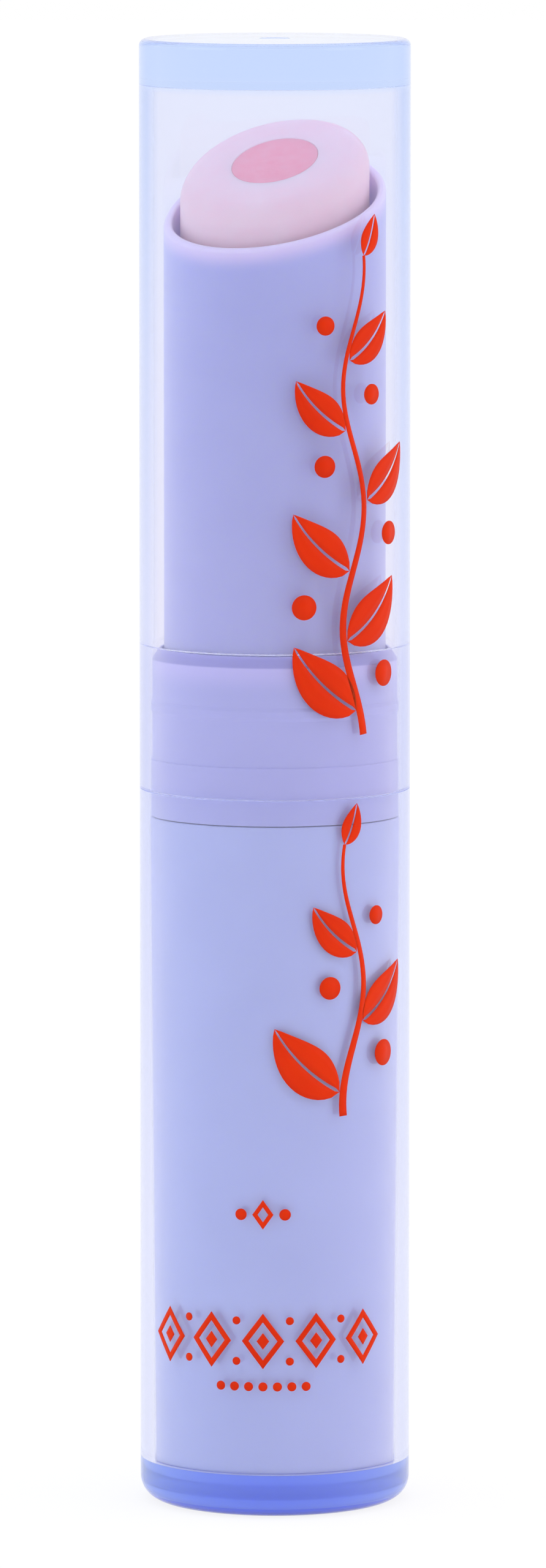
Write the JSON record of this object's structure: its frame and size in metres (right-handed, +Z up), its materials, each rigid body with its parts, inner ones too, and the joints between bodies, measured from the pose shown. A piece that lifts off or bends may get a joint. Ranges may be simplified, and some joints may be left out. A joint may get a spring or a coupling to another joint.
{
  "type": "lipstick",
  "caption": "Slim twist-up lipstick in a clear cylindrical case with a thick clear foot and cap top, a slanted tube and a two-tone slanted bullet.",
  "frame": {"origin": "centre of the underside, where the case's axis meets the surface it stands on", "axes": "+Z up along the case's axis towards the cap, +X to the right in the picture's view, +Y away from the viewer"},
  "size_m": [0.016, 0.016, 0.0865],
  "materials": {
    "clear_case": "clear moulded styrene plastic, polished, faint blue",
    "lavender": "milky lavender moulded plastic, satin",
    "white_works": "natural white acetal, satin",
    "silicone": "translucent silicone",
    "pale_wax": "cast lip wax, soft satin",
    "pink_wax": "cast lip wax, soft satin"
  },
  "bodies": {
    "base": {"base_shell": "clear_case", "base_liner": "lavender", "spiral_sleeve": "white_works"},
    "tube": {"guide_tube": "lavender", "collar": "lavender", "slotted_fork": "white_works", "friction_ring": "silicone"},
    "bullet": {"carrier": "white_works", "bullet_shell": "pale_wax", "bullet_core": "pink_wax"},
    "cap": {"cap": "clear_case"}
  },
  "joints": [
    {"name": "tube_twist", "type": "hinge", "parent": "base", "child": "tube", "pos_m": [0, 0, 0.0425], "axis": [0, 0, 1], "range_deg": [0, 540]},
    {"name": "bullet_advance", "type": "slide", "parent": "tube", "child": "bullet", "axis": [0, 0, 1], "range_m": [0, 0.024]},
    {"name": "cap_pull", "type": "slide", "parent": "bullet", "child": "cap", "axis": [0, 0, 1], "range_m": [0, 0.05]}
  ],
  "couplings": [
    {"joint": "bullet_advance", "follows": "tube_twist", "m_per_rad": 0.0025465}
  ]
}
